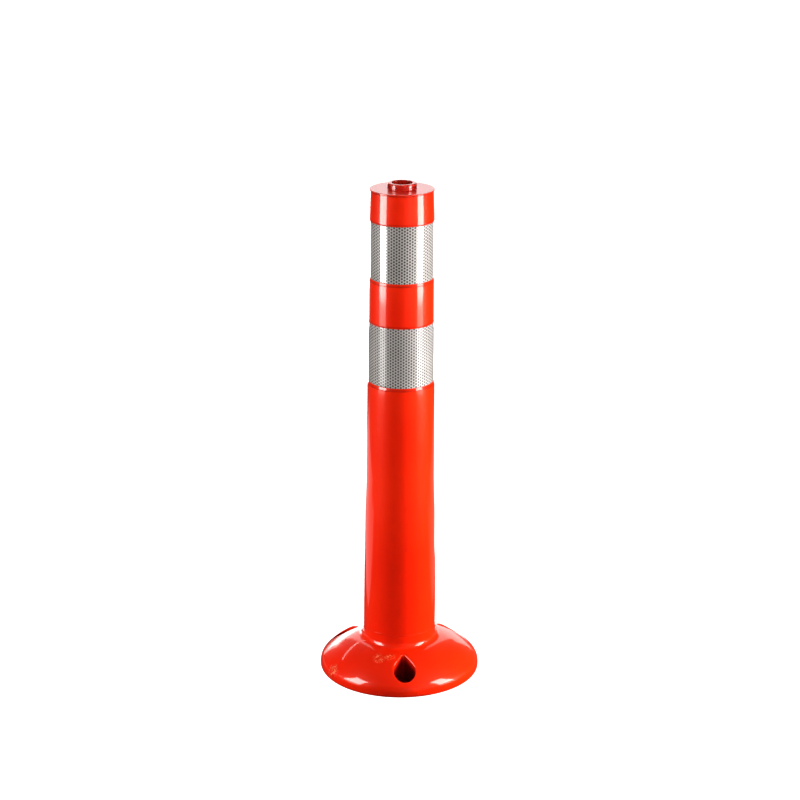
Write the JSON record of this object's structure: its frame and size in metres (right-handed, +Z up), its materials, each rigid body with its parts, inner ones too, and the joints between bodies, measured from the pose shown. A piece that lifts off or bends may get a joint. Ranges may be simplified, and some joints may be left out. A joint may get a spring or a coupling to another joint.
{
  "type": "delineator post",
  "caption": "Flexible tubular traffic post with a flared bolt-down foot, reflective bands and a capped top with an open collar.",
  "frame": {"origin": "centre of the foot's underside, on the ground", "axes": "+Z up along the post; one bolt pocket lies on the -Y side, and X = 0 is the foot's plane of symmetry"},
  "size_m": [0.2, 0.2, 0.6267],
  "materials": {
    "polyurethane": "gloss",
    "cap": "gloss",
    "sheeting": "gloss"
  },
  "bodies": {
    "foot": {"base_flange": "polyurethane", "neck_lower": "polyurethane"},
    "neck": {"neck_upper": "polyurethane"},
    "post": {"post_tube": "polyurethane", "band_lower": "sheeting", "band_upper": "sheeting", "top_cap": "cap"}
  },
  "joints": [
    {"name": "bend_fore_aft", "type": "hinge", "parent": "foot", "child": "neck", "pos_m": [0, 0, 0.11], "axis": [1, 0, 0], "range_deg": [-80, 80], "stiffness_Nm_per_rad": 35, "deforming": ["neck_lower"]},
    {"name": "bend_sideways", "type": "hinge", "parent": "neck", "child": "post", "pos_m": [0, 0, 0.16], "axis": [0, 1, 0], "range_deg": [-80, 80], "stiffness_Nm_per_rad": 35, "deforming": ["neck_upper"]}
  ]
}
